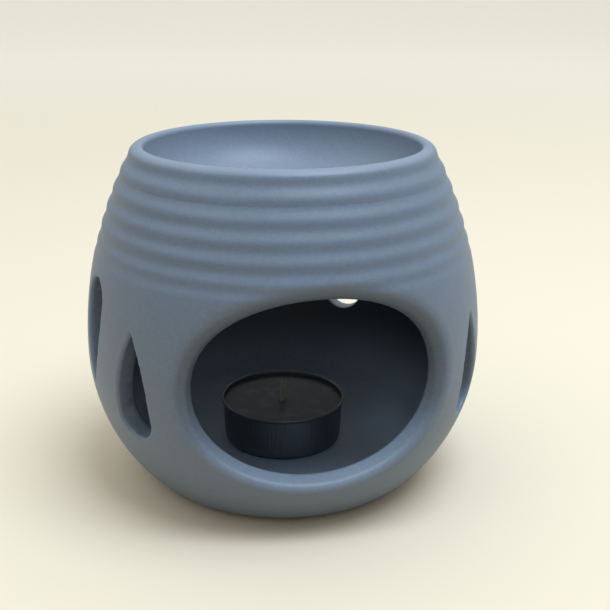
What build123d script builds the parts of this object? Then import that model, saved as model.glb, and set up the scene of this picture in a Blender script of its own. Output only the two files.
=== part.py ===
from build123d import *
from math import cos, hypot, pi, radians, sin, sqrt
import os

os.makedirs("parts", exist_ok=True)

# Driving dimensions, in millimetres and degrees.
# The burner stands on Z = 0, its turning axis is Z, and its oval opening faces -Y.

# Shell of the burner
height = 102.4  # table to the top of the lip
belly_radius = 60.0  # widest place
belly_height = 42.0
foot_radius = 41.0  # where the lower curve would meet the table
shoulder_radius = 45.1  # outside, just under the lip
shoulder_drop = 2.0  # from the top of the lip down to that place
wall = 6.0
floor_thickness = 7.0
floor_cove = 12.0
base_edge_round = 3.0
foot_ring_width = 9.5
foot_recess = 1.5

# Turned rings round the shoulder
ring_pitch = 5.1
ring_depth = 0.4  # from crest to groove
ring_shave = 0.1  # the crests lie this far under the plain wall
lip_crest_drop = 1.4  # from the top of the lip to the first crest

# Oval opening for the tealight
opening_spread_angle = 66.5  # as seen from above, round the belly
opening_height = 51.4
opening_sill = 19.8  # height of its lowest edge
opening_outer_round = 3.5
opening_inner_round = 1.2

# Teardrop cut-outs, alternately upright and upside down from each side of the opening to the back
drop_width = 13.0
drop_length = 30.2
drop_bottom = 27.3  # round end of the upright ones next to the opening
drop_rise = 3.0  # how much higher the next upright one stands
drop_top = 67.5  # round end of those upside down
drop_first_angle = 54.4  # from the middle of the opening to the first one
drop_count = 12

# Bowl for water and oil, with the lip
lip_thickness = 3.2
lip_outer_round = 1.6
lip_inner_round = 1.4
bowl_depth = 24.0
bowl_wall = 5.5  # at the bottom
bowl_side_round = 16.0  # radius of the sides, which start upright at the lip

# Tealight
cup_rim_radius = 19.2
cup_foot_radius = 18.4
cup_height = 14.0
cup_sheet = 0.3
cup_rim_fold = 0.9  # width and height of the folded rim
cup_floor_gap = 0.1
wax_depth = 12.2
wax_dip = 0.8  # how far the wax sinks round the wick
wax_gap = 0.05
sustainer_radius = 7.0
sustainer_sheet = 0.3
neck_radius = 1.6
neck_height = 3.0
wick_radius = 1.0
wick_gap = 0.05
wick_free_length = 7.0
wick_end_bevel = 0.4


def tangent_arc_radius(inset, rise):
    """Radius of an arc that starts upright and is inset by a length after a rise."""
    return (inset**2 + rise**2) / (2 * inset)


# The outside is two arcs, both upright where they meet at the belly.
lower_radius = tangent_arc_radius(belly_radius - foot_radius, belly_height)
shoulder_rise = height - shoulder_drop - belly_height
upper_radius = tangent_arc_radius(belly_radius - shoulder_radius, shoulder_rise)
opening_width = 2 * belly_radius * sin(radians(opening_spread_angle / 2))


def wall_radius(z, depth=0.0):
    """Radius of the outside at height z, or of the surface that deep inside the wall."""
    arc = upper_radius if z > belly_height else lower_radius
    return belly_radius - arc + sqrt((arc - depth) ** 2 - (z - belly_height) ** 2)


def wall_point(z, depth=0.0):
    """Point of the shell's section at height z."""
    return (wall_radius(z, depth), z)


# Rings are counted in half pitches down from the lip: crests are even, grooves odd.
lip_crest_height = height - lip_crest_drop


def ring_point(half_pitches, sink=None):
    """Point of the turned surface at a crest, at a groove or half way between them."""
    z = lip_crest_height - half_pitches * ring_pitch / 2
    if sink is None:
        sink = ring_depth * (1 - cos(half_pitches * pi)) / 2
    return (wall_radius(z) - ring_shave - sink, z)


def ring_arcs(first, last):
    """Draw the rings from one crest or groove down to another as arcs that run into each other."""
    down_the_wall = Vector(*ring_point(first + 1, 0)) - Vector(*ring_point(first - 1, 0))
    arc = TangentArc(ring_point(first), ring_point(first + 0.5), tangent=down_the_wall)
    for count in range(first + 1, last):
        arc = ThreePointArc(arc @ 1, ring_point(count), ring_point(count + 0.5))
    TangentArc(arc @ 1, ring_point(last), tangent=arc % 1)


# The bowl is luted on in the second groove, and the rings end in a last faint groove.
seam_count = 3
last_crest_count = 10
seam_height = ring_point(seam_count)[1]


def wall_depth(edge):
    """How deep inside the wall the middle of an edge lies."""
    middle = edge.position_at(0.5)
    return wall_radius(middle.Z) - hypot(middle.X, middle.Y)


def is_outer(edge):
    """Whether an edge lies in the outer half of the wall."""
    return wall_depth(edge) < wall / 2


def drop_plane(angle):
    """Upright plane through the axis that faces outwards at an angle from -Y."""
    turn = radians(angle)
    return Plane(origin=(0, 0, 0), x_dir=(cos(turn), sin(turn), 0), z_dir=(sin(turn), -cos(turn), 0))


with BuildPart() as burner_body:
    # Wall and floor
    with BuildSketch(Plane.XZ):
        with BuildLine():
            inside_middle = (floor_thickness + belly_height) / 2
            upper_middle = (belly_height + seam_height) / 2
            Line((0, 0), wall_point(0))
            ThreePointArc(wall_point(0), wall_point(belly_height / 2), wall_point(belly_height))
            ThreePointArc(wall_point(belly_height), wall_point(upper_middle), wall_point(seam_height))
            Line(wall_point(seam_height), wall_point(seam_height, wall))
            ThreePointArc(
                wall_point(seam_height, wall), wall_point(upper_middle, wall), wall_point(belly_height, wall)
            )
            ThreePointArc(
                wall_point(belly_height, wall), wall_point(inside_middle, wall), wall_point(floor_thickness, wall)
            )
            Polyline(wall_point(floor_thickness, wall), (0, floor_thickness), (0, 0))
        make_face()
    revolve(axis=Axis.Z)
    fillet(burner_body.edges().filter_by(GeomType.CIRCLE).group_by(Axis.Z)[1], floor_cove)
    fillet(burner_body.edges().filter_by(GeomType.CIRCLE).group_by(Axis.Z)[0], base_edge_round)

    # Recess inside the foot ring
    with BuildSketch(Plane.XY):
        Circle(foot_radius - foot_ring_width)
    extrude(amount=foot_recess, mode=Mode.SUBTRACT)

    # Oval opening, sponged round on both edges
    with BuildSketch(Plane.XZ):
        with Locations((0, opening_sill + opening_height / 2)):
            Ellipse(opening_width / 2, opening_height / 2)
    extrude(amount=2 * belly_radius, mode=Mode.SUBTRACT)
    opening_edges = burner_body.edges(Select.LAST).filter_by(GeomType.BSPLINE)
    outer_edges = opening_edges.filter_by(is_outer)
    fillet(outer_edges, opening_outer_round)
    fillet(opening_edges - outer_edges, opening_inner_round)

    # Teardrop cut-outs, evenly spaced from one side of the opening round to the other
    drop_step = (360 - 2 * drop_first_angle) / (drop_count - 1)
    for index in range(drop_count):
        from_opening = min(index, drop_count - 1 - index)
        if from_opening % 2 == 0:
            round_end, up = drop_bottom + drop_rise * from_opening / 2, 1
        else:
            round_end, up = drop_top, -1
        right = (drop_width / 2, round_end + up * drop_width / 2)
        left = (-right[0], right[1])
        tip = (0, round_end + up * drop_length)
        with BuildSketch(drop_plane(drop_first_angle + index * drop_step)):
            with BuildLine():
                ThreePointArc(left, (0, round_end), right)
                TangentArc(right, tip, tangent=(0, up))
                TangentArc(left, tip, tangent=(0, up))
            make_face()
        extrude(amount=2 * belly_radius, mode=Mode.SUBTRACT)

    # Rings turned into the shoulder
    with BuildSketch(Plane.XZ):
        with BuildLine():
            ring_arcs(seam_count, last_crest_count)
            faint_groove = ring_point(last_crest_count + 1, ring_depth / 2)
            run_out = ring_point(last_crest_count + 2, -2 * ring_depth)
            clear_radius = belly_radius + ring_pitch
            ThreePointArc(ring_point(last_crest_count), faint_groove, run_out)
            Polyline(
                run_out, (clear_radius, run_out[1]), (clear_radius, seam_height), ring_point(seam_count)
            )
        make_face()
    revolve(axis=Axis.Z, mode=Mode.SUBTRACT)

burner_body.part.label = "burner_body"
export_step(burner_body.part, "parts/burner_body.step")


# Bowl: a dish with upright sides that run round into a flatter bottom, with the lip and the top ring
lip_radius = wall_radius(height) - ring_shave
mouth_radius = lip_radius - lip_thickness
seat_radius = wall_radius(seam_height, wall)  # inner edge of the seat, where the underside starts

# The arc of the bottom is centred on the axis and touches the arc of the sides.
side_centre_radius = mouth_radius - bowl_side_round
bottom_span = side_centre_radius**2 + bowl_depth**2 - bowl_side_round**2
bottom_radius = bottom_span / (2 * (bowl_depth - bowl_side_round))
side_share = bowl_side_round / (bottom_radius - bowl_side_round)
touch_radius = side_centre_radius * (1 + side_share)
touch_height = height - (bottom_radius - bowl_depth) * side_share

with BuildPart() as oil_bowl:
    with BuildSketch(Plane.XZ):
        with BuildLine():
            bowl_bottom = (0, height - bowl_depth)
            underside_bottom = (0, height - bowl_depth - bowl_wall)
            TangentArc(underside_bottom, (seat_radius, seam_height), tangent=(1, 0))
            Line((seat_radius, seam_height), ring_point(seam_count))
            ring_arcs(0, seam_count)
            Polyline(ring_point(0), (lip_radius, height), (mouth_radius, height))
            side = TangentArc((mouth_radius, height), (touch_radius, touch_height), tangent=(0, -1))
            TangentArc((touch_radius, touch_height), bowl_bottom, tangent=side % 1)
            Line(bowl_bottom, underside_bottom)
        make_face()
    revolve(axis=Axis.Z)
    lip_edges = oil_bowl.edges().filter_by(GeomType.CIRCLE).group_by(Axis.Z)[-1].sort_by(SortBy.RADIUS)
    fillet(lip_edges[-1], lip_outer_round)
    lip_edges = oil_bowl.edges().filter_by(GeomType.CIRCLE).group_by(Axis.Z)[-1].sort_by(SortBy.RADIUS)
    fillet(lip_edges[0], lip_inner_round)

oil_bowl.part.label = "oil_bowl"
export_step(oil_bowl.part, "parts/oil_bowl.step")


# Tealight, standing on the floor under the bowl
cup_base = floor_thickness + cup_floor_gap
cup_inside = cup_base + cup_sheet
fold_height = cup_base + cup_height - cup_rim_fold / 2
wax_top = cup_inside + wax_depth
wick_hole = wick_radius + wick_gap
cup_flare = (cup_rim_radius - cup_foot_radius) / (fold_height - cup_base)

with BuildPart() as tealight_cup:
    with BuildSketch(Plane.XZ):
        with BuildLine():
            Polyline(
                (0, cup_base),
                (cup_foot_radius, cup_base),
                (cup_rim_radius, fold_height),
                (cup_rim_radius - cup_sheet, fold_height),
                (cup_foot_radius - cup_sheet, cup_inside),
                (0, cup_inside),
                close=True,
            )
        make_face()
        with Locations((cup_rim_radius, fold_height)):
            Rectangle(cup_rim_fold, cup_rim_fold)
    revolve(axis=Axis.Z)

tealight_cup.part.label = "tealight_cup"
export_step(tealight_cup.part, "parts/tealight_cup.step")


with BuildPart() as wick_sustainer:
    with BuildSketch(Plane.XZ):
        with BuildLine():
            Polyline(
                (wick_hole, cup_inside),
                (sustainer_radius, cup_inside),
                (sustainer_radius, cup_inside + sustainer_sheet),
                (neck_radius, cup_inside + sustainer_sheet),
                (neck_radius, cup_inside + neck_height),
                (wick_hole, cup_inside + neck_height),
                close=True,
            )
        make_face()
    revolve(axis=Axis.Z)

wick_sustainer.part.label = "wick_sustainer"
export_step(wick_sustainer.part, "parts/wick_sustainer.step")


def wax_side(z):
    """Radius of the wax at height z, following the cup's flare."""
    return cup_foot_radius - cup_sheet - wax_gap + cup_flare * (z - cup_inside)


with BuildPart() as tealight_wax:
    with BuildSketch(Plane.XZ):
        with BuildLine():
            pocket_radius = sustainer_radius + wax_gap
            pocket_top = cup_inside + sustainer_sheet + wax_gap
            collar_radius = neck_radius + wax_gap
            collar_top = cup_inside + neck_height + wax_gap
            dip_middle = ((wick_hole + wax_side(wax_top)) / 2, wax_top - wax_dip / 4)
            Polyline(
                (wick_hole, wax_top - wax_dip),
                (wick_hole, collar_top),
                (collar_radius, collar_top),
                (collar_radius, pocket_top),
                (pocket_radius, pocket_top),
                (pocket_radius, cup_inside),
                (wax_side(cup_inside), cup_inside),
                (wax_side(wax_top), wax_top),
            )
            ThreePointArc((wax_side(wax_top), wax_top), dip_middle, (wick_hole, wax_top - wax_dip))
        make_face()
    revolve(axis=Axis.Z)

tealight_wax.part.label = "tealight_wax"
export_step(tealight_wax.part, "parts/tealight_wax.step")


with BuildPart() as wick:
    with BuildSketch(Plane.XY.offset(cup_inside)):
        Circle(wick_radius)
    extrude(amount=wax_depth - wax_dip + wick_free_length)
    chamfer(wick.edges().group_by(Axis.Z)[-1], wick_end_bevel)

wick.part.label = "wick"
export_step(wick.part, "parts/wick.step")
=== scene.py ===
"""Essential oil burner in satin slate glaze, with a tealight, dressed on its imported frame."""
import logging
import math
from dataclasses import dataclass, fields
from enum import Enum
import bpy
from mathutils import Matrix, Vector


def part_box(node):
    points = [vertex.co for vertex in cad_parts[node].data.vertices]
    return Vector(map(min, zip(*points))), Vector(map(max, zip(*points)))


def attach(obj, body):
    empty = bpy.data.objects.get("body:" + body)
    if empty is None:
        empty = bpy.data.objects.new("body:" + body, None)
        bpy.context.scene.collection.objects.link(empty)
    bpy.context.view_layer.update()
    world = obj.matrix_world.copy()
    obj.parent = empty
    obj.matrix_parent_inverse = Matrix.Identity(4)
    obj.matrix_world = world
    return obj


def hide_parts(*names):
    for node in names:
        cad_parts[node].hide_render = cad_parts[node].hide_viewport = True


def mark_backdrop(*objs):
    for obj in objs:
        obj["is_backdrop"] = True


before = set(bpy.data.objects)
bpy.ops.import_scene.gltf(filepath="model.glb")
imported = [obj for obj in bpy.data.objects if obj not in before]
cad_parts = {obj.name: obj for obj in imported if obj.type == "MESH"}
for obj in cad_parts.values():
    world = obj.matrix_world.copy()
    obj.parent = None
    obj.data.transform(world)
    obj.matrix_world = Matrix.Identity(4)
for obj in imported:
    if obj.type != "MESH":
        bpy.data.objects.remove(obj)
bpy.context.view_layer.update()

from types import SimpleNamespace
from typing import Any, Callable

import bmesh
import bpy
import numpy as np
from mathutils import Vector

MM = 0.001
ON_AXIS = 1e-9
log = logging.getLogger("burner")

Colour = tuple[float, float, float]
Place = tuple[float, float, float]


class Signal:
    """One output of a node, ready for arithmetic."""

    def __init__(self, graph: "Graph", socket: bpy.types.NodeSocket) -> None:
        """Keep the output and the tree that it belongs to."""
        self.graph = graph
        self.socket = socket

    def __add__(self, other: "Number") -> "Signal":
        """Sum."""
        return self.graph.math("ADD", self, other)

    __radd__ = __add__

    def __sub__(self, other: "Number") -> "Signal":
        """Difference."""
        return self.graph.math("SUBTRACT", self, other)

    def __rsub__(self, other: "Number") -> "Signal":
        """Difference with the output on the right."""
        return self.graph.math("SUBTRACT", other, self)

    def __mul__(self, other: "Number") -> "Signal":
        """Product."""
        return self.graph.math("MULTIPLY", self, other)

    __rmul__ = __mul__

    def __truediv__(self, other: "Number") -> "Signal":
        """Quotient."""
        return self.graph.math("DIVIDE", self, other)

    def __neg__(self) -> "Signal":
        """Opposite."""
        return self.graph.math("MULTIPLY", self, -1.0)

    def __abs__(self) -> "Signal":
        """Size without the sign."""
        return self.graph.math("ABSOLUTE", self)

    def __gt__(self, other: "Number") -> "Signal":
        """One where the output is larger, else nought."""
        return self.graph.math("GREATER_THAN", self, other)


Number = float | Signal


class Graph:
    """Builds the nodes of one tree, for a material, a world or geometry."""

    def __init__(self, tree: bpy.types.NodeTree) -> None:
        """Start on a tree."""
        self.tree = tree

    def feed(self, socket: bpy.types.NodeSocket, value: Any) -> None:
        """Link an output to an input, or set the input's own value.

        Args:
            socket: the input.
            value: a Signal, or a plain value for the input.
        """
        if isinstance(value, Signal):
            self.tree.links.new(value.socket, socket)
        else:
            socket.default_value = value

    def node(
        self,
        kind: str,
        settings: dict[str, Any] | None = None,
        sockets: dict[str | int, Any] | None = None,
    ) -> bpy.types.Node:
        """Add one node.

        Args:
            kind: the node's type.
            settings: its properties, set first.
            sockets: values or Signals by the input's name or number.

        Returns:
            The node.
        """
        made = self.tree.nodes.new(kind)
        for name, value in (settings or {}).items():
            setattr(made, name, value)
        for key, value in (sockets or {}).items():
            self.feed(made.inputs[key], value)
        return made

    def out(self, node: bpy.types.Node, key: str | int = 0) -> Signal:
        """An output of a node as a Signal."""
        return Signal(self, node.outputs[key])

    def math(self, operation: str, *values: Number) -> Signal:
        """Add a Math node with its inputs in order and return its result."""
        return self.out(self.node("ShaderNodeMath", {"operation": operation}, dict(enumerate(values))))

    def vector(self, operation: str, *values: Any, output: int = 0) -> Signal:
        """Add a Vector Math node and return one of its outputs."""
        made = self.node("ShaderNodeVectorMath", {"operation": operation}, dict(enumerate(values)))
        return self.out(made, output)

    def scaled(self, vector: Any, factor: Number) -> Signal:
        """A vector or colour times a number."""
        made = self.node("ShaderNodeVectorMath", {"operation": "SCALE"}, {0: vector, "Scale": factor})
        return self.out(made)

    def split(self, vector: Signal) -> tuple[Signal, Signal, Signal]:
        """The three parts of a vector."""
        made = self.node("ShaderNodeSeparateXYZ", None, {0: vector})
        return self.out(made, 0), self.out(made, 1), self.out(made, 2)

    def largest(self, first: Number, *others: Number) -> Signal:
        """The largest of several values."""
        for other in others:
            first = self.math("MAXIMUM", first, other)
        return first

    def smallest(self, first: Number, *others: Number) -> Signal:
        """The smallest of several values."""
        for other in others:
            first = self.math("MINIMUM", first, other)
        return first

    def length(self, first: Signal, second: Signal) -> Signal:
        """Length of a plane vector from its two parts."""
        return self.math("SQRT", first * first + second * second)

    def step(self, value: Signal, start: Number, end: Number) -> Signal:
        """Smooth step from nought at start to one at end."""
        sockets = {0: value, 1: start, 2: end, 3: 0.0, 4: 1.0}
        return self.out(self.node("ShaderNodeMapRange", {"interpolation_type": "SMOOTHSTEP"}, sockets))

    def noise(self, place: Signal, scale: float, detail: float = 2.0, roughness: float = 0.5) -> Signal:
        """Even noise from about nought to one."""
        sockets = {"Vector": place, "Scale": scale, "Detail": detail, "Roughness": roughness}
        return self.out(self.node("ShaderNodeTexNoise", None, sockets))

    def attribute(self, name: str) -> Signal:
        """A mask that is stored on the mesh."""
        return self.out(self.node("ShaderNodeAttribute", {"attribute_name": name}), "Fac")

    def bump(self, height: Signal, strength: float, depth: float) -> Signal:
        """Normal of a fine relief, its depth in metres."""
        sockets = {"Strength": strength, "Distance": depth, "Height": height}
        return self.out(self.node("ShaderNodeBump", None, sockets))

    def blend(self, factor: Number, first: Any, second: Any) -> Signal:
        """Mix two colours.

        Args:
            factor: nought for the first, one for the second.
            first: a colour or Signal.
            second: a colour or Signal.

        Returns:
            The mixed colour.
        """
        values = [value if isinstance(value, Signal) else (*value, 1.0) for value in (first, second)]
        settings = {"data_type": "RGBA", "clamp_factor": True}
        made = self.node("ShaderNodeMix", settings, {0: factor, 6: values[0], 7: values[1]})
        return self.out(made, 2)


class GeometryGraph(Graph):
    """A geometry tree with named inputs for its sizes."""

    def __init__(self, name: str) -> None:
        """Start an empty tree."""
        super().__init__(bpy.data.node_groups.new(name, "GeometryNodeTree"))
        self.entry = self.tree.nodes.new("NodeGroupInput")
        self.exit = self.tree.nodes.new("NodeGroupOutput")

    def given(self, name: str, kind: str = "NodeSocketFloat") -> Signal:
        """Add a named input and return it."""
        self.tree.interface.new_socket(name, in_out="INPUT", socket_type=kind)
        return self.out(self.entry, name)

    def give(self, name: str, kind: str, value: Signal) -> None:
        """Add a named output and link it."""
        self.tree.interface.new_socket(name, in_out="OUTPUT", socket_type=kind)
        self.feed(self.exit.inputs[name], value)

    def finish(self, geometry: Signal, material: Signal) -> None:
        """End the tree in real geometry with its material.

        Args:
            geometry: the last geometry.
            material: the material input.
        """
        real = self.out(self.node("GeometryNodeRealizeInstances", None, {0: geometry}))
        sockets = {"Geometry": real, "Material": material}
        painted = self.out(self.node("GeometryNodeSetMaterial", None, sockets))
        self.give("Geometry", "NodeSocketGeometry", painted)

    def attach(self, piece: bpy.types.Object, values: dict[str, Any]) -> None:
        """Put the tree on a piece as a modifier.

        Args:
            piece: the piece.
            values: the inputs by name.
        """
        modifier = piece.modifiers.new(self.tree.name, "NODES")
        modifier.node_group = self.tree
        for item in self.tree.interface.items_tree:
            if item.in_out == "INPUT" and item.name in values:
                modifier[item.identifier] = values[item.name]


def placed(name: str, data: bpy.types.ID) -> bpy.types.Object:
    """Put a mesh, lamp or camera into the scene.

    Args:
        name: name of the new object.
        data: what it shows.

    Returns:
        The object, at the origin.
    """
    made = bpy.data.objects.new(name, data)
    bpy.context.scene.collection.objects.link(made)
    return made


def make_plain(piece: bpy.types.Object) -> None:
    """Keep what a piece's modifiers make of it as a plain mesh."""
    ready = piece.evaluated_get(bpy.context.evaluated_depsgraph_get())
    mesh = bpy.data.meshes.new_from_object(ready)
    piece.modifiers.clear()
    piece.data = mesh
    mesh.name = piece.name


def new_material(name: str) -> tuple[bpy.types.Material, Graph, bpy.types.Node]:
    """Start a material.

    Args:
        name: name of the finish.

    Returns:
        The material, its graph and its main shader.
    """
    material = bpy.data.materials.new(name)
    material.use_nodes = True
    graph = Graph(material.node_tree)
    return material, graph, material.node_tree.nodes["Principled BSDF"]


def object_place(graph: Graph) -> Signal:
    """Place on the piece, in metres."""
    return graph.out(graph.node("ShaderNodeTexCoord"), "Object")


@dataclass(frozen=True)
class SatinGlaze:
    """Slate-grey satin glaze with a sandy grain, paler where it runs thin on an edge, bare on the foot,
    darkened by painted shade in the chamber, on the opening's rim and under the bowl, and lightened by
    painted light on the sill and the chamber floor.
    """

    colour: Colour = (0.155, 0.198, 0.255)
    thin: Colour = (0.217, 0.270, 0.335)
    # Share of the colour left under full painted shade in the chamber.
    painted_shade_share: float = 0.28
    roughness: float = 0.47
    clay: Colour = (0.34, 0.31, 0.275)
    clay_roughness: float = 0.9
    bare_height: float = 0.5 * MM
    bare_unevenness: float = 0.4 * MM
    cloud_scale: float = 55.0
    cloud_tone: float = 0.14
    speckle_scale: float = 700.0
    speckle_tone: float = 0.22
    grain_scale: float = 2600.0
    grain_tone: float = 0.5
    relief_depth: float = 0.06 * MM

    def material(self) -> bpy.types.Material:
        """Build the glaze.

        Returns:
            The material.
        """
        material, graph, shader = new_material("satin_slate_glaze")
        place = object_place(graph)
        cloud = graph.noise(place, self.cloud_scale, 3.0, 0.55)
        speckle = graph.noise(place, self.speckle_scale, 2.0, 0.6)
        grain = graph.noise(place, self.grain_scale, 2.0, 0.7)
        level = 1.0 + (cloud - 0.5) * self.cloud_tone
        level = level + (speckle - 0.5) * self.speckle_tone + (grain - 0.5) * self.grain_tone
        # Painted shade and painted light: the stored mask darkens the chamber, the opening's rim and the
        # bowl's underside, and pales the sill and the chamber floor.
        painted_shade_level = 1.0 - (1.0 - self.painted_shade_share) * graph.attribute("painted_light_shade")
        shade = graph.scaled(self.colour, level * painted_shade_level)
        coat = graph.blend(graph.attribute("thin_edge") * (0.15 + 0.4 * cloud), shade, self.thin)
        height = graph.split(place)[2] + (speckle - 0.5) * self.bare_unevenness
        bare = 1.0 - graph.step(height, self.bare_height, 2 * self.bare_height)
        clay = graph.scaled(self.clay, 0.86 + grain * 0.28)
        graph.feed(shader.inputs["Base Color"], graph.blend(bare, coat, clay))
        satin = self.roughness + (speckle - 0.5) * 0.10 + (cloud - 0.5) * 0.06
        graph.feed(shader.inputs["Roughness"], satin + bare * (self.clay_roughness - self.roughness))
        relief = grain * 0.6 + speckle * 0.8
        graph.feed(shader.inputs["Normal"], graph.bump(relief, 0.35, self.relief_depth))
        return material


@dataclass(frozen=True)
class DrawnMetal:
    """Thin drawn metal with upright draw marks and a dull, slightly uneven surface."""

    name: str
    colour: Colour
    roughness: float
    mark_scale: float = 2200.0
    mark_stretch: Place = (1.0, 1.0, 0.06)
    dull_scale: float = 160.0
    relief_depth: float = 0.03 * MM

    def material(self) -> bpy.types.Material:
        """Build the metal.

        Returns:
            The material.
        """
        material, graph, shader = new_material(self.name)
        place = object_place(graph)
        stretched = graph.vector("MULTIPLY", place, self.mark_stretch)
        marks = graph.noise(stretched, self.mark_scale, 2.0, 0.6)
        dull = graph.noise(place, self.dull_scale, 3.0, 0.6)
        level = 0.9 + (marks - 0.5) * 0.3 + (dull - 0.5) * 0.3
        graph.feed(shader.inputs["Base Color"], graph.scaled(self.colour, level))
        shader.inputs["Metallic"].default_value = 1.0
        satin = self.roughness + (dull - 0.5) * 0.18 + (marks - 0.5) * 0.1
        graph.feed(shader.inputs["Roughness"], satin)
        graph.feed(shader.inputs["Normal"], graph.bump(marks, 0.25, self.relief_depth))
        return material


@dataclass(frozen=True)
class SlateWax:
    """Dyed candle wax with a faint bloom and a crystalline top."""

    colour: Colour = (0.085, 0.095, 0.105)
    bloom: Colour = (0.150, 0.160, 0.170)
    crystal_scale: float = 650.0
    cloud_scale: float = 220.0
    relief_depth: float = 0.12 * MM

    def material(self) -> bpy.types.Material:
        """Build the wax.

        Returns:
            The material.
        """
        material, graph, shader = new_material("slate_wax")
        place = object_place(graph)
        sockets = {"Vector": place, "Scale": self.crystal_scale}
        cell = graph.out(graph.node("ShaderNodeTexVoronoi", None, sockets))
        cloud = graph.noise(place, self.cloud_scale, 4.0, 0.6)
        bloom = graph.step(cloud, 0.45, 0.75) * (0.45 + cell)
        graph.feed(shader.inputs["Base Color"], graph.blend(bloom, self.colour, self.bloom))
        graph.feed(shader.inputs["Roughness"], 0.42 + cloud * 0.2)
        shader.inputs["Subsurface Weight"].default_value = 0.08
        shader.inputs["Subsurface Radius"].default_value = (0.002, 0.002, 0.002)
        graph.feed(shader.inputs["Normal"], graph.bump(cloud + cell * 0.4, 0.3, self.relief_depth))
        return material


@dataclass(frozen=True)
class WaxedCotton:
    """Cotton yarn primed with wax, with fine fibres along the strands."""

    colour: Colour = (0.40, 0.37, 0.31)
    shade: Colour = (0.24, 0.22, 0.19)
    fibre_scale: float = 6000.0
    fibre_stretch: Place = (1.0, 1.0, 0.25)
    relief_depth: float = 0.05 * MM

    def material(self) -> bpy.types.Material:
        """Build the cotton.

        Returns:
            The material.
        """
        material, graph, shader = new_material("waxed_cotton")
        stretched = graph.vector("MULTIPLY", object_place(graph), self.fibre_stretch)
        fibre = graph.noise(stretched, self.fibre_scale, 3.0, 0.65)
        graph.feed(shader.inputs["Base Color"], graph.blend(fibre, self.shade, self.colour))
        graph.feed(shader.inputs["Roughness"], 0.65 + fibre * 0.25)
        graph.feed(shader.inputs["Normal"], graph.bump(fibre, 0.4, self.relief_depth))
        return material


class PotPart(Enum):
    """The two ceramic pieces, by the solid that each stands for."""

    BODY = "burner_body"
    BOWL = "oil_bowl"


def tangent_arc_radius(inset: float, rise: float) -> float:
    """Radius of an arc that starts upright and is inset by a length after a rise."""
    return (inset**2 + rise**2) / (2 * inset)


@dataclass
class CeramicSizes:
    """Sizes of the ceramic in millimetres, and radians for the angles round it."""

    height: float
    belly_radius: float
    seam_height: float
    belly_height: float = 42.0
    foot_radius: float = 41.0
    shoulder_radius: float = 45.1
    shoulder_drop: float = 2.0
    wall: float = 6.0
    floor_height: float = 7.0
    floor_cove: float = 4.8
    base_round: float = 3.0
    recess_radius: float = 31.5
    recess_depth: float = 1.5
    recess_round: float = 1.0
    ring_pitch: float = 5.1
    ring_depth: float = 0.36
    ring_shave: float = 0.1
    ring_count: float = 5.0
    lip_crest_drop: float = 1.4
    lip_thickness: float = 3.2
    lip_outer_round: float = 1.6
    lip_inner_round: float = 1.4
    bowl_depth: float = 24.0
    bowl_wall: float = 5.5
    bowl_side_round: float = 16.0
    seat_round: float = 0.55
    opening_half_width: float = 32.5
    opening_half_height: float = 25.4
    opening_sill: float = 19.6
    opening_tilt: float = 0.018
    opening_fullness: float = 0.06
    opening_side_flare: float = 0.6
    opening_sill_flare: float = 0.36
    opening_top_flare: float = 0.22
    opening_sill_round: float = 2.3
    opening_top_round: float = 4.6
    opening_inner_round: float = 0.8
    # Painted light and shade on the glaze: negative values pale the opening's sill and the chamber's floor
    # as painted light, positive values darken the opening's rim as painted shade.
    sill_painted_light: float = -0.22
    rim_painted_shade: float = 0.52
    chamber_floor_painted_light: float = -0.45
    drop_radius: float = 6.5
    drop_length: float = 30.2
    drop_bottom: float = 27.3
    drop_rise: float = 3.0
    drop_top: float = 67.5
    drop_first: float = math.radians(54.4)
    drop_last_count: float = 5.0
    drop_outer_round: float = 1.1
    drop_inner_round: float = 0.7
    tongue: float = 2.0
    tongue_inset: float = 0.06
    hand_wobble: float = 0.2

    def wall_radius(self, height: float, depth: float) -> float:
        """Radius of the shoulder's wall at a height, that deep inside the wall."""
        arc = self.upper_arc() - depth
        return self.belly_radius - depth - arc + math.sqrt(arc**2 - (height - self.belly_height) ** 2)

    def upper_arc(self) -> float:
        """Radius of the arc from the belly up to the shoulder."""
        rise = self.height - self.shoulder_drop - self.belly_height
        return tangent_arc_radius(self.belly_radius - self.shoulder_radius, rise)

    def derived(self) -> dict[str, float]:
        """All sizes by name, with those that follow from others.

        Returns:
            The value of each input of the distance tree.
        """
        mouth = self.wall_radius(self.height, 0.0) - self.ring_shave - self.lip_thickness
        side_centre = mouth - self.bowl_side_round
        span = side_centre**2 + self.bowl_depth**2 - self.bowl_side_round**2
        bottom_radius = span / (2 * (self.bowl_depth - self.bowl_side_round))
        under_low = self.height - self.bowl_depth - self.bowl_wall
        seat_radius = self.wall_radius(self.seam_height, self.wall)
        under_radius = tangent_arc_radius(self.seam_height - under_low, seat_radius)
        values = {size.name: float(getattr(self, size.name)) for size in fields(self)}
        values.update(
            lower_arc=tangent_arc_radius(self.belly_radius - self.foot_radius, self.belly_height),
            upper_arc=self.upper_arc(),
            crest_height=self.height - self.lip_crest_drop,
            side_centre=side_centre,
            bottom_radius=bottom_radius,
            bottom_rise=bottom_radius - self.bowl_depth,
            under_radius=under_radius,
            under_centre=under_low + under_radius,
            drop_arc=tangent_arc_radius(self.drop_radius, self.drop_length - self.drop_radius),
            drop_step=(math.pi - self.drop_first) / (self.drop_last_count + 0.5),
        )
        return values


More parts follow.
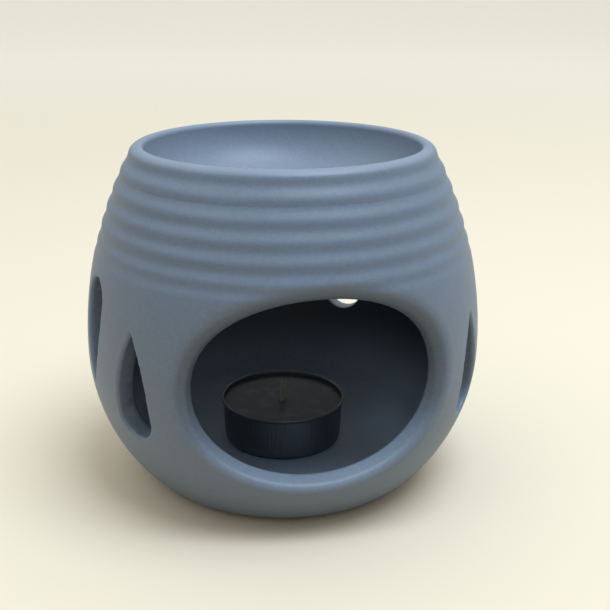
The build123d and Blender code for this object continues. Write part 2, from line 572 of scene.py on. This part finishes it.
class CeramicField:
    """Nodes that give the distance from any point to the surface of one ceramic piece, negative inside."""

    WOBBLE_SCALE = 0.028
    WANDER = 0.12
    WANDER_SCALE = 0.035
    FLARE_END = 1.5
    LEAST_SLOPE = 0.0001
    SEAT_FADE = (-0.3, 1.5)
    # From here down, where the glaze's painted light and painted shade begin and end.
    RIM_FADE = (1.0, 4.0)
    DEEP_SHARES = (0.7, 0.98)
    FACE_SHARES = (-0.02, 0.2)
    FLOOR_SHARES = (2.0, 5.0)
    SHADE_RISE_SHARE = 0.9
    UNDERSIDE_FADE = 3.0
    UNDERSIDE_SHARES = (0.3, 0.6)

    def __init__(self, part: PotPart, sizes: dict[str, float]) -> None:
        """Build the tree.

        Args:
            part: which piece.
            sizes: the named sizes, whose names become inputs.
        """
        self.graph = GeometryGraph(f"{part.value}_distance")
        self.place = self.graph.given("place", "NodeSocketVector")
        self.size = SimpleNamespace(**{name: self.graph.given(name) for name in sizes})
        self.edge: Signal | None = None
        # Mask of painted light and shade for the glaze, filled in by the body or the bowl.
        self.inner: Signal | float = 0.0
        self.x, self.y, self.z = self.graph.split(self.place)
        self.radius = self.graph.length(self.x, self.y)
        distance = self.body() if part is PotPart.BODY else self.bowl()
        self.graph.give("distance", "NodeSocketFloat", distance)
        self.graph.give("edge", "NodeSocketFloat", self.edge)
        self.graph.give("inner", "NodeSocketFloat", self.inner)

    def cut(self, first: Signal, second: Signal, radius: Signal, thin: bool = False) -> Signal:
        """What two shapes share, with the edge between them rounded.

        Args:
            first: distance to the one shape.
            second: distance to the other.
            radius: radius of the rounded edge.
            thin: whether the glaze runs thin on this edge.

        Returns:
            Distance to the shared shape.
        """
        graph = self.graph
        near_first = graph.largest(first + radius, 0.0)
        near_second = graph.largest(second + radius, 0.0)
        if thin:
            here = 2.0 * near_first * near_second / (radius * radius)
            self.edge = here if self.edge is None else graph.largest(self.edge, here)
        return graph.smallest(-radius, graph.largest(first, second)) + graph.length(near_first, near_second)

    def join(self, first: Signal, second: Signal, radius: Signal) -> Signal:
        """Two hollows run together, with the edge between them rounded."""
        return -self.cut(-first, -second, radius)

    def outside(self) -> Signal:
        """Distance to the plain outside: two arcs that meet upright at the belly, a little uneven by hand.

        Returns:
            The distance.
        """
        size = self.size
        above = self.z - size.belly_height
        arc = size.lower_arc + (size.upper_arc - size.lower_arc) * (above > 0.0)
        distance = self.graph.length(self.radius - size.belly_radius + arc, above) - arc
        return distance + size.hand_wobble * self.graph.noise(self.place, self.WOBBLE_SCALE, 1.0)

    def turned(self, outside: Signal) -> Signal:
        """The outside with the rings turned into its shoulder.

        Args:
            outside: distance to the plain outside.

        Returns:
            Distance to the ringed outside.
        """
        graph, size = self.graph, self.size
        wander = (graph.noise(self.place, self.WANDER_SCALE, 1.0) - 0.5) * self.WANDER
        steps = graph.largest(size.crest_height - self.z, 0.0) / size.ring_pitch
        phase = steps + wander * graph.step(steps, 0.0, 1.0)
        wave = 0.5 - 0.5 * graph.math("COSINE", 2 * math.pi * phase)
        fade = 1.0 - graph.step(steps, size.ring_count, size.ring_count + 1.0)
        return outside + fade * (size.ring_shave + size.ring_depth * wave)

    def opening_top(self) -> Signal:
        """Height of the opening's top on the inside of the wall."""
        return self.size.opening_sill + 2.0 * self.size.opening_half_height

    def oval(self, outside: Signal) -> Signal:
        """Distance to the oval way in, on the front only, square to the wall so that it widens outwards.

        Args:
            outside: distance to the plain outside.

        Returns:
            Distance to the way in, negative where it is open.
        """
        graph, size = self.graph, self.size
        out = graph.smallest(graph.largest(outside + size.wall, 0.0), self.FLARE_END * size.wall)
        across = size.opening_half_width + size.opening_side_flare * out
        top = self.opening_top() + size.opening_top_flare * out
        sill = size.opening_sill - size.opening_sill_flare * out
        tall = 0.5 * (top - sill)
        up = self.z - sill - tall - size.opening_tilt * self.x
        corner = self.x / across * up / tall
        reach = graph.length(self.x / across, up / tall) - size.opening_fullness * corner * corner
        slope = graph.length(self.x / (across * across), up / (tall * tall)) + self.LEAST_SLOPE
        return graph.largest((reach - 1.0) * reach / slope, self.y)

    def drops(self) -> Signal:
        """Distance to the nearest teardrop cut-out, every second one upside down from front to back.

        Returns:
            Distance to the cut-outs, negative where they are open.
        """
        graph, size = self.graph, self.size
        angle = abs(graph.math("ARCTAN2", self.x, -self.y))
        count = graph.math("ROUND", (angle - size.drop_first) / size.drop_step)
        count = graph.smallest(graph.largest(count, 0.0), size.drop_last_count)
        turn = angle - size.drop_first - count * size.drop_step
        side = abs(self.radius * graph.math("SINE", turn))
        turned_over = graph.math("MODULO", count, 2.0)
        upright = self.z - size.drop_bottom - size.drop_rise * count * 0.5 - size.drop_radius
        hanging = size.drop_top - size.drop_radius - self.z
        along = upright + (hanging - upright) * turned_over
        arc = size.drop_radius + (size.drop_arc - size.drop_radius) * (along > 0.0)
        return graph.length(side + arc - size.drop_radius, along) - arc

    def painted_shade_mask(self, outside: Signal, oval: Signal) -> Signal:
        """Mask of painted shade in the chamber and on the opening's cut face, negative where it is painted
        light instead.

        Args:
            outside: distance to the plain outside.
            oval: distance to the way in.

        Returns:
            The mask.
        """
        graph, size = self.graph, self.size
        wall, floor, sill = size.wall, size.floor_height, size.opening_sill
        at_rim = 1.0 - graph.step(oval, *self.RIM_FADE)
        deep = graph.step(-outside, *(share * wall for share in self.DEEP_SHARES)) * (1.0 - at_rim)
        above_floor = graph.step(self.z, *(share * floor for share in self.FLOOR_SHARES))
        # Painted shade on the chamber's walls, turning into painted light on its floor.
        chamber = deep * (size.chamber_floor_painted_light + (1.0 - size.chamber_floor_painted_light) * above_floor)
        cut_face = at_rim * graph.step(-outside, *(share * wall for share in self.FACE_SHARES))
        # Painted light low on the sill, turning into painted shade up the sides and top of the rim.
        dull = graph.step(self.z, sill, sill + self.SHADE_RISE_SHARE * size.opening_half_height)
        return chamber + cut_face * (size.sill_painted_light + (size.rim_painted_shade - size.sill_painted_light) * dull)

    def body(self) -> Signal:
        """Shell with floor, foot, opening and teardrop cut-outs, up to a tongue inside the bowl's seat.

        Returns:
            Distance to the shell.
        """
        graph, size = self.graph, self.size
        outside = self.outside()
        under_seat = graph.step(self.z, *(size.seam_height + end for end in self.SEAT_FADE))
        skin = self.turned(outside) + size.tongue_inset * under_seat
        shell = self.cut(skin, -self.z, size.base_round, thin=True)
        recess = graph.largest(self.radius - size.recess_radius, self.z - size.recess_depth)
        shell = self.cut(shell, -recess, size.recess_round)
        shell = graph.largest(shell, self.z - size.seam_height - size.tongue)
        room = self.cut(outside + size.wall, size.floor_height - self.z, size.floor_cove)
        oval, drops = self.oval(outside), self.drops()
        # Mask of painted light and painted shade for the glaze.
        self.inner = self.painted_shade_mask(outside, oval)
        sill_round, top_round = size.opening_sill_round, size.opening_top_round
        rise = graph.step(self.z, size.opening_sill, self.opening_top())
        shell = self.cut(shell, -oval, sill_round + (top_round - sill_round) * rise)
        shell = self.cut(shell, -drops, size.drop_outer_round)
        room = self.join(room, oval, size.opening_inner_round)
        room = self.join(room, drops, size.drop_inner_round)
        return graph.largest(shell, -room)

    def bowl(self) -> Signal:
        """Dish with upright sides and a flatter bottom, its lip and the top ring.

        Returns:
            Distance to the dish.
        """
        graph, size = self.graph, self.size
        seam, wall = size.seam_height, size.bowl_wall
        skin = self.turned(self.outside())
        lip = self.cut(skin, self.z - size.height, size.lip_outer_round, thin=True)
        down = size.height - self.z
        to_side = graph.length(self.radius - size.side_centre, graph.largest(down, 0.0))
        sides = to_side - size.bowl_side_round
        to_centre = down + size.bottom_rise
        bottom = graph.length(self.radius, to_centre) - size.bottom_radius
        at_bottom = to_centre * size.side_centre > self.radius * size.bottom_rise
        dish = sides + (bottom - sides) * at_bottom
        lip = self.cut(lip, -dish, size.lip_inner_round, thin=True)
        under = graph.length(self.radius, self.z - size.under_centre) - size.under_radius
        # Painted shade on the bowl's underside, where it hangs in the chamber.
        below_seat = 1.0 - graph.step(self.z, seam - self.UNDERSIDE_FADE, seam)
        self.inner = below_seat * graph.step(dish, *(share * wall for share in self.UNDERSIDE_SHARES))
        return self.cut(lip, graph.smallest(seam - self.z, under), size.seat_round)


@dataclass
class Grid:
    """Box and fineness, in millimetres, of the grid that a ceramic piece is grown on."""

    low: Place
    high: Place
    across: float
    upward: float
    kept_share: float

    def counts(self) -> tuple[int, int, int]:
        """Number of grid points each way."""
        steps = (self.across, self.across, self.upward)
        sides = zip(self.low, self.high, steps)
        return tuple(1 + round((high - low) / step) for low, high, step in sides)


class Ceramic:
    """The fired pot: the shell and the oil bowl, one glaze over both."""

    PROBE = 0.04
    CORNERS = ((1, -1, -1), (-1, -1, 1), (-1, 1, -1), (1, 1, 1))
    SETTLING_STEPS = 3
    LEAST_STEEPNESS = 0.2
    SURFACE_DENSITY = 10.0
    GRID_MARGIN = 2.0
    BOWL_REACH = 6.0
    BOWL_DROP = 3.0

    def __init__(self) -> None:
        """Take the outer sizes from the frame."""
        body_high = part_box(PotPart.BODY.value)[1]
        bowl_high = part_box(PotPart.BOWL.value)[1]
        self.sizes = CeramicSizes(
            height=bowl_high.z / MM, belly_radius=body_high.x / MM, seam_height=body_high.z / MM
        )
        self.glaze = SatinGlaze().material()

    def grid(self, part: PotPart) -> Grid:
        """The box that one piece is grown in.

        Args:
            part: which piece.

        Returns:
            The grid.
        """
        sizes, margin = self.sizes, self.GRID_MARGIN
        if part is PotPart.BODY:
            reach = sizes.belly_radius + margin
            low, top = -margin, sizes.seam_height + sizes.tongue + margin
            upward, kept_share = 0.7, 0.55
        else:
            reach = sizes.shoulder_radius + self.BOWL_REACH
            low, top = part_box(part.value)[0].z / MM - self.BOWL_DROP, sizes.height + margin
            upward, kept_share = 0.65, 0.7
        return Grid((-reach, -reach, low), (reach, reach, top), 0.8, upward, kept_share)

    def slope(
        self, graph: GeometryGraph, field_tree: bpy.types.NodeTree, inputs: dict[str, Signal]
    ) -> tuple[Signal, Signal, Signal, Signal]:
        """Nodes for the distance and its slope at each point of the surface.

        Args:
            graph: the surface tree.
            field_tree: the distance tree.
            inputs: the sizes.

        Returns:
            The distance, the slope, the edge mask and the mask of painted light and shade.
        """
        here = graph.out(graph.node("GeometryNodeInputPosition"))
        total, slope, near = 0.0, None, None
        for corner in self.CORNERS:
            probe = graph.vector("ADD", here, tuple(self.PROBE * side for side in corner))
            near = graph.node("GeometryNodeGroup", {"node_tree": field_tree}, {**inputs, "place": probe})
            distance = graph.out(near, "distance")
            part = graph.scaled(tuple(side / (4 * self.PROBE) for side in corner), distance)
            slope = part if slope is None else graph.vector("ADD", slope, part)
            total = total + distance * 0.25
        return total, slope, graph.out(near, "edge"), graph.out(near, "inner")

    def rough_tree(
        self, part: PotPart, field_tree: bpy.types.NodeTree, sizes: dict[str, float]
    ) -> GeometryGraph:
        """Tree that grows the rough surface on the grid, where the distance is nought.

        Args:
            part: which piece.
            field_tree: the distance tree.
            sizes: the named sizes.

        Returns:
            The tree.
        """
        grid = self.grid(part)
        graph = GeometryGraph(f"{part.value}_rough")
        inputs = {name: graph.given(name) for name in sizes}
        here = graph.out(graph.node("GeometryNodeInputPosition"))
        whole = graph.node("GeometryNodeGroup", {"node_tree": field_tree}, {**inputs, "place": here})
        x_count, y_count, z_count = grid.counts()
        sockets = {
            "Density": self.SURFACE_DENSITY - graph.out(whole, "distance"), "Background": 0.0,
            "Min": grid.low, "Max": grid.high,
            "Resolution X": x_count, "Resolution Y": y_count, "Resolution Z": z_count,
        }
        volume = graph.out(graph.node("GeometryNodeVolumeCube", None, sockets))
        sockets = {"Volume": volume, "Threshold": self.SURFACE_DENSITY, "Adaptivity": 0.0}
        rough = graph.out(graph.node("GeometryNodeVolumeToMesh", {"resolution_mode": "GRID"}, sockets))
        graph.give("Geometry", "NodeSocketGeometry", self.settled(graph, rough, field_tree, inputs))
        return graph

    def settled(
        self,
        graph: GeometryGraph,
        surface: Signal,
        field_tree: bpy.types.NodeTree,
        inputs: dict[str, Signal],
    ) -> Signal:
        """Move a surface on to the true shape.

        Args:
            graph: the tree to build in.
            surface: the surface.
            field_tree: the distance tree.
            inputs: the sizes.

        Returns:
            The settled surface.
        """
        distance, slope, _, _ = self.slope(graph, field_tree, inputs)
        steepness = graph.vector("DOT_PRODUCT", slope, slope, output=1)
        settle = graph.scaled(slope, -distance / graph.largest(steepness, self.LEAST_STEEPNESS))
        for _ in range(self.SETTLING_STEPS):
            sockets = {"Geometry": surface, "Offset": settle}
            surface = graph.out(graph.node("GeometryNodeSetPosition", None, sockets))
        return surface

    def fine_tree(
        self, part: PotPart, field_tree: bpy.types.NodeTree, sizes: dict[str, float]
    ) -> GeometryGraph:
        """Tree that settles the thinned surface, notes its slope, edges and painted light and shade, and
        turns it into metres.

        Args:
            part: which piece.
            field_tree: the distance tree.
            sizes: the named sizes.

        Returns:
            The tree.
        """
        graph = GeometryGraph(f"{part.value}_fine")
        thinned = graph.given("Geometry", "NodeSocketGeometry")
        material = graph.given("glaze", "NodeSocketMaterial")
        inputs = {name: graph.given(name) for name in sizes}
        surface = self.settled(graph, thinned, field_tree, inputs)
        _, slope, edge, inner = self.slope(graph, field_tree, inputs)
        facing = graph.vector("NORMALIZE", slope)
        # The last attribute holds the mask of painted light and painted shade.
        kept = (
            ("surface_facing", "FLOAT_VECTOR", facing),
            ("thin_edge", "FLOAT", edge),
            ("painted_light_shade", "FLOAT", inner),
        )
        for name, kind, value in kept:
            settings = {"data_type": kind, "domain": "POINT"}
            sockets = {"Geometry": surface, "Name": name, "Value": value}
            surface = graph.out(graph.node("GeometryNodeStoreNamedAttribute", settings, sockets))
        sockets = {"Geometry": surface, "Scale": (MM, MM, MM)}
        metres = graph.out(graph.node("GeometryNodeTransform", None, sockets))
        graph.finish(metres, material)
        return graph

    def build(self, part: PotPart) -> bpy.types.Object:
        """Grow one ceramic piece, shade it by its true slope and put it on its body.

        Args:
            part: which piece.

        Returns:
            The piece.
        """
        sizes = self.sizes.derived()
        field_tree = CeramicField(part, sizes).graph.tree
        name = f"glazed_{part.value}"
        piece = placed(name, bpy.data.meshes.new(name + "_seed"))
        self.rough_tree(part, field_tree, sizes).attach(piece, sizes)
        piece.modifiers.new("thin_out", "DECIMATE").ratio = self.grid(part).kept_share
        self.fine_tree(part, field_tree, sizes).attach(piece, {"glaze": self.glaze, **sizes})
        make_plain(piece)
        mesh = piece.data
        mesh.polygons.foreach_set("use_smooth", np.ones(len(mesh.polygons), bool))
        facing = np.zeros(len(mesh.vertices) * 3, np.float32)
        mesh.attributes["surface_facing"].data.foreach_get("vector", facing)
        mesh.attributes.remove(mesh.attributes["surface_facing"])
        mesh.normals_split_custom_set_from_vertices(facing.reshape(-1, 3))
        mesh.update()
        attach(piece, "burner")
        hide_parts(part.value)
        return piece


def lathe(
    name: str,
    outline: list[tuple[float, float]],
    turns: int,
    shift: Callable[[float, float, float], float] | None = None,
) -> bpy.types.Object:
    """Turn a closed outline round the axis.

    Args:
        name: name of the piece.
        outline: points of radius and height in millimetres, anticlockwise in the half section.
        turns: number of steps round the axis.
        shift: extra radius by radius, height and angle.

    Returns:
        The piece, a closed mesh.
    """
    shape = bmesh.new()
    rings = []
    for radius, height in outline:
        if radius < ON_AXIS:
            rings.append([shape.verts.new((0.0, 0.0, height * MM))] * turns)
            continue
        ring = []
        for count in range(turns):
            angle = 2 * math.pi * count / turns
            reach = (radius + (shift(radius, height, angle) if shift else 0.0)) * MM
            ring.append(shape.verts.new((reach * math.cos(angle), reach * math.sin(angle), height * MM)))
        rings.append(ring)
    closed = outline[0][0] > ON_AXIS
    pairs = list(zip(rings, rings[1:])) + ([(rings[-1], rings[0])] if closed else [])
    for ring, following in pairs:
        for count in range(turns):
            after = (count + 1) % turns
            corners = [ring[count], ring[after], following[after], following[count]]
            loop = list(dict.fromkeys(corners))
            if len(loop) > 2:
                shape.faces.new(loop).smooth = True
    bmesh.ops.recalc_face_normals(shape, faces=shape.faces)
    mesh = bpy.data.meshes.new(name)
    shape.to_mesh(mesh)
    shape.free()
    return placed(name, mesh)


@dataclass
class Tealight:
    """Tealight under the bowl: drawn cup, wax, wick and the pressed foot that holds the wick."""

    sheet: float = 0.3
    rim_bead: float = 0.45
    flute_count: int = 90
    flute_depth: float = 0.07
    flare: float = 0.8
    base_lift: float = 0.25
    foot_round: float = 1.2
    wax_gap: float = 0.05
    wax_dip: float = 0.8
    wax_flare: float = 0.75
    wax_bevel: float = 0.6
    meniscus: float = 0.25
    plate_height: float = 0.35
    wick_hole: float = 1.05
    neck_radius: float = 1.65
    strand_count: int = 3
    strand_turns: float = 4.5

    def __post_init__(self) -> None:
        """Take the outer sizes from the frame."""
        self.cup_low, self.cup_high = (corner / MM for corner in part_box("tealight_cup"))
        self.wax_low, self.wax_high = (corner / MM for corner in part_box("tealight_wax"))
        self.wick_low, self.wick_high = (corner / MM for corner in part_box("wick"))
        self.foot_low, self.foot_high = (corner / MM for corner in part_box("wick_sustainer"))

    def cup_radius(self, height: float) -> float:
        """Outer radius of the flared cup at a height."""
        rim = self.cup_high.x - self.rim_bead
        share = (height - self.cup_low.z) / (self.cup_high.z - self.rim_bead - self.cup_low.z)
        return rim - self.flare * (1 - share)

    def build_cup(self) -> bpy.types.Object:
        """Drawn cup with a rounded foot, a beaded base, fine flutes under the rim and a rolled rim.

        Returns:
            The cup.
        """
        base, top = self.cup_low.z, self.cup_high.z
        foot = self.cup_radius(base)
        bead = self.rim_bead
        bead_height = top - bead
        bead_radius = self.cup_high.x - bead
        lifted, bend = base + self.base_lift, self.foot_round
        outline = [(0.0, lifted), (foot - 4.2, lifted), (foot - 3.6, base), (foot - 1.4, base)]
        for count in range(1, 7):
            angle = math.radians(-90 + 15 * count)
            outline.append((foot - bend + bend * math.cos(angle), base + bend + bend * math.sin(angle)))
        rise = bead_height - base - 1.5 * bend
        sides = [base + bend + share * rise for share in np.linspace(0.05, 1.0, 24)]
        outline += [(self.cup_radius(height), height) for height in sides]
        for count in range(13):
            angle = math.radians(-70 + 20 * count)
            outline.append((bead_radius + bead * math.cos(angle), bead_height + bead * math.sin(angle)))
        outline += [(self.cup_radius(height) - self.sheet, height) for height in reversed(sides)]
        outline += [(foot - bend, base + self.sheet), (0.0, base + self.sheet)]

        def flutes(radius: float, height: float, angle: float) -> float:
            """Extra radius of the fine flutes, which fade out under the rim and over the foot."""
            share = (height - base - 2.0) / (bead_height - base - 3.0)
            inside = 0.0 < share < 1.0 and radius > foot - 1.3
            fade = math.sin(math.pi * share) ** 0.5 if inside else 0.0
            return -self.flute_depth * fade * (0.5 + 0.5 * math.cos(self.flute_count * angle))

        return lathe("drawn_cup", outline, 4 * self.flute_count, flutes)

    def build_wax(self) -> bpy.types.Object:
        """Wax that has set with a dip round the wick and a low meniscus at the cup.

        Returns:
            The wax.
        """
        low, high = self.wax_low.z, self.wax_high.z
        edge = self.wax_high.x
        foot_radius, bevel = edge - self.wax_flare, self.wax_bevel
        pocket = self.foot_high.x + self.wax_gap
        plate_top = self.foot_low.z + self.plate_height
        neck_top = self.foot_high.z + self.wax_gap
        outline = [
            (self.wick_hole, neck_top), (self.neck_radius, neck_top), (self.neck_radius, plate_top),
            (pocket, plate_top), (pocket, low), (foot_radius - bevel, low), (foot_radius, low + bevel),
        ]
        for share in (0.3, 0.6, 1.0):
            radius = foot_radius + (edge - foot_radius) * share
            outline.append((radius, low + bevel + (high - low - bevel) * share))
        for share in np.linspace(0.02, 1.0, 26):
            radius = edge - 0.02 + (self.wick_hole - edge) * share
            meniscus = self.meniscus * (1 - math.exp(-share * 22))
            dip = (self.wax_dip - self.meniscus) * share**1.6 - 0.12 * math.exp(-((1 - share) * 14))
            outline.append((radius, high - meniscus - dip))
        return lathe("set_wax", outline, 96)

    def wick_tree(self) -> GeometryGraph:
        """Tree of a wick laid from equal strands that wind round each other.

        Returns:
            The tree.
        """
        graph = GeometryGraph("laid_wick")
        material = graph.given("cotton", "NodeSocketMaterial")
        count = graph.given("strand_count", "NodeSocketInt")
        lay = graph.given("lay_radius")
        thick = graph.given("strand_radius")
        height = graph.given("wick_height")
        turns = graph.given("turns")
        foot = graph.given("foot_height")
        sockets = {
            "Resolution": 16, "Rotations": turns, "Start Radius": lay, "End Radius": lay, "Height": height,
        }
        path = graph.out(graph.node("GeometryNodeCurveSpiral", None, sockets))
        sockets = {"Resolution": 12, "Radius": thick}
        ring = graph.out(graph.node("GeometryNodeCurvePrimitiveCircle", None, sockets))
        sockets = {"Curve": path, "Profile Curve": ring, "Fill Caps": True}
        strand = graph.out(graph.node("GeometryNodeCurveToMesh", None, sockets))
        start = graph.out(graph.node("ShaderNodeCombineXYZ", None, {2: foot}))
        sockets = {"Count": count, "Position": start}
        points = graph.out(graph.node("GeometryNodePoints", None, sockets))
        index = graph.out(graph.node("GeometryNodeInputIndex"))
        turn = graph.node("ShaderNodeCombineXYZ", None, {2: index * (2 * math.pi) / count})
        sockets = {"Points": points, "Instance": strand, "Rotation": graph.out(turn)}
        strands = graph.out(graph.node("GeometryNodeInstanceOnPoints", None, sockets))
        smooth = graph.out(graph.node("GeometryNodeSetShadeSmooth", None, {"Geometry": strands}))
        graph.finish(smooth, material)
        return graph

    def build_wick(self) -> bpy.types.Object:
        """Wick of laid cotton strands.

        Returns:
            The wick.
        """
        radius = self.wick_high.x
        thick = 0.52 * radius
        margin = 0.15
        values = {
            "cotton": WaxedCotton().material(), "strand_count": self.strand_count,
            "lay_radius": (radius - thick) * MM * 0.97, "strand_radius": thick * MM,
            "wick_height": (self.wick_high.z - self.wick_low.z - 2 * margin) * MM,
            "turns": self.strand_turns, "foot_height": (self.wick_low.z + margin) * MM,
        }
        wick = placed("laid_wick", bpy.data.meshes.new("laid_wick_seed"))
        self.wick_tree().attach(wick, values)
        make_plain(wick)
        return wick

    def build(self) -> list[bpy.types.Object]:
        """Build and dress every piece of the tealight.

        Returns:
            The pieces.
        """
        metal = DrawnMetal("graphite_cup_metal", (0.20, 0.21, 0.22), 0.42).material()
        steel = DrawnMetal("tinned_foot_metal", (0.55, 0.55, 0.55), 0.35).material()
        cup, wax, wick = self.build_cup(), self.build_wax(), self.build_wick()
        cup.data.materials.append(metal)
        wax.data.materials.append(SlateWax().material())
        made = (
            (cup, "tealight_cup", "cup_metal"),
            (wax, "tealight_wax", "wax"),
            (wick, "wick", "wick_cotton"),
        )
        for piece, node, slot in made:
            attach(piece, "tealight")
            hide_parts(node)
        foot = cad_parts["wick_sustainer"]
        foot.data.materials.clear()
        foot.data.materials.append(steel)
        return [cup, wax, wick, foot]


@dataclass
class Studio:
    """Plain pale floor, soft overhead light and the camera of the photograph."""

    floor_seen: Colour = (0.71, 0.625, 0.48)
    floor_seen_far: Colour = (0.86, 0.83, 0.70)
    floor_bounce: Colour = (0.56, 0.46, 0.33)
    floor_far: Colour = (0.13, 0.115, 0.09)
    floor_half: float = 12.0
    bounce_fade: tuple[float, float] = (0.12, 0.3)
    seen_fade: tuple[float, float] = (0.25, 1.6)
    sky_low: Colour = (0.55, 0.565, 0.56)
    sky_high: Colour = (1.27, 1.29, 1.31)
    sky_fade: tuple[float, float] = (0.3, 0.7)
    front_share: float = 0.36
    backdrop: Colour = (0.838, 0.791, 0.658)
    key_colour: Colour = (0.82, 1.0, 1.2)
    key_power: float = 8.8
    key_size: float = 0.7
    key_place: Place = (0.25, -0.24, 1.08)
    turn: float = math.radians(10.5)
    pitch: float = math.radians(19.38)
    distance: float = 0.27866
    camera_height: float = 0.14944
    focal_pixels: float = 950.0
    image_pixels: float = 610.0
    axis_offset_pixels: float = 22.3

    def build_floor(self) -> bpy.types.Object:
        """Wide floor that looks pale but throws back less light, least of all far from the burner.

        Returns:
            The floor.
        """
        mesh = bpy.data.meshes.new("floor")
        half = self.floor_half
        rim = [(-half, -half, 0), (half, -half, 0), (half, half, 0), (-half, half, 0)]
        mesh.from_pydata(rim, [], [(0, 1, 2, 3)])
        floor = placed("floor", mesh)
        material, graph, shader = new_material("pale_floor")
        path = graph.node("ShaderNodeLightPath")
        names = ("Is Camera Ray", "Is Glossy Ray", "Is Transmission Ray")
        seen = graph.largest(*(graph.out(path, name) for name in names))
        east, north, _ = graph.split(graph.out(graph.node("ShaderNodeNewGeometry"), "Position"))
        away = graph.length(east, north)
        bounce = graph.blend(graph.step(away, *self.bounce_fade), self.floor_bounce, self.floor_far)
        pale = graph.blend(graph.step(away, *self.seen_fade), self.floor_seen, self.floor_seen_far)
        graph.feed(shader.inputs["Base Color"], graph.blend(seen, bounce, pale))
        shader.inputs["Roughness"].default_value = 0.9
        shader.inputs["Specular IOR Level"].default_value = 0.1
        mesh.materials.append(material)
        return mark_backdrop(floor)

    def build_world(self) -> None:
        """Soft sky, bright to both sides and dim in front, with a plain pale backdrop for the eye."""
        world = bpy.data.worlds.new("studio")
        bpy.context.scene.world = world
        world.use_nodes = True
        graph = Graph(world.node_tree)
        direction = graph.out(graph.node("ShaderNodeTexCoord"), "Generated")
        east, north, up = graph.split(direction)
        sky = graph.blend(graph.step(up, *self.sky_fade), self.sky_low, self.sky_high)
        ahead = graph.largest(-north, 0.0)
        front = ahead * ahead / (east * east + north * north + 0.0001)
        sky = graph.blend((1.0 - self.front_share) * front, sky, (0.0, 0.0, 0.0))
        seen = graph.out(graph.node("ShaderNodeLightPath"), "Is Camera Ray")
        background = world.node_tree.nodes["Background"]
        graph.feed(background.inputs["Color"], graph.blend(seen, sky, self.backdrop))

    def build_key(self) -> bpy.types.Object:
        """Wide soft lamp high above, a little to the right, that faces the burner.

        Returns:
            The lamp.
        """
        lamp = bpy.data.lights.new("soft_key", "AREA")
        lamp.shape = "DISK"
        lamp.size = self.key_size
        lamp.energy = self.key_power
        lamp.color = self.key_colour
        key = placed("soft_key", lamp)
        key.location = self.key_place
        key.rotation_euler = Vector(self.key_place).to_track_quat("Z", "Y").to_euler()
        return key

    def build_camera(self) -> bpy.types.Object:
        """Camera that stands where the photograph was taken from.

        Returns:
            The camera.
        """
        lens = bpy.data.cameras.new("camera")
        lens.sensor_width = 36.0
        lens.lens = lens.sensor_width * self.focal_pixels / self.image_pixels
        lens.shift_x = self.axis_offset_pixels / self.image_pixels
        lens.clip_start = 0.01
        camera = placed("camera", lens)
        camera.location = (
            -self.distance * math.sin(self.turn), -self.distance * math.cos(self.turn), self.camera_height
        )
        camera.rotation_euler = (math.pi / 2 - self.pitch, 0.0, -self.turn)
        bpy.context.scene.camera = camera
        return camera

    def build(self) -> None:
        """Set up the floor, light and camera."""
        self.build_floor()
        self.build_world()
        self.build_key()
        self.build_camera()
        bpy.context.scene.view_settings.view_transform = "Standard"


def corners(box: tuple[Vector, Vector]) -> list[list[float]]:
    """The two corners of a box as plain lists."""
    return [[float(value) for value in corner] for corner in box]


def main() -> None:
    """Build the burner, the tealight and the studio, and log each piece's triangles."""
    logging.basicConfig(level=logging.INFO, format="%(name)s: %(message)s")
    ceramic = Ceramic()
    pieces = [ceramic.build(part) for part in PotPart]
    pieces += Tealight().build()
    for piece in pieces:
        triangles = sum(len(face.vertices) - 2 for face in piece.data.polygons)
        log.info("%s: %d triangles", piece.name, triangles)
    Studio().build()


if __name__ == "__main__":
    main()
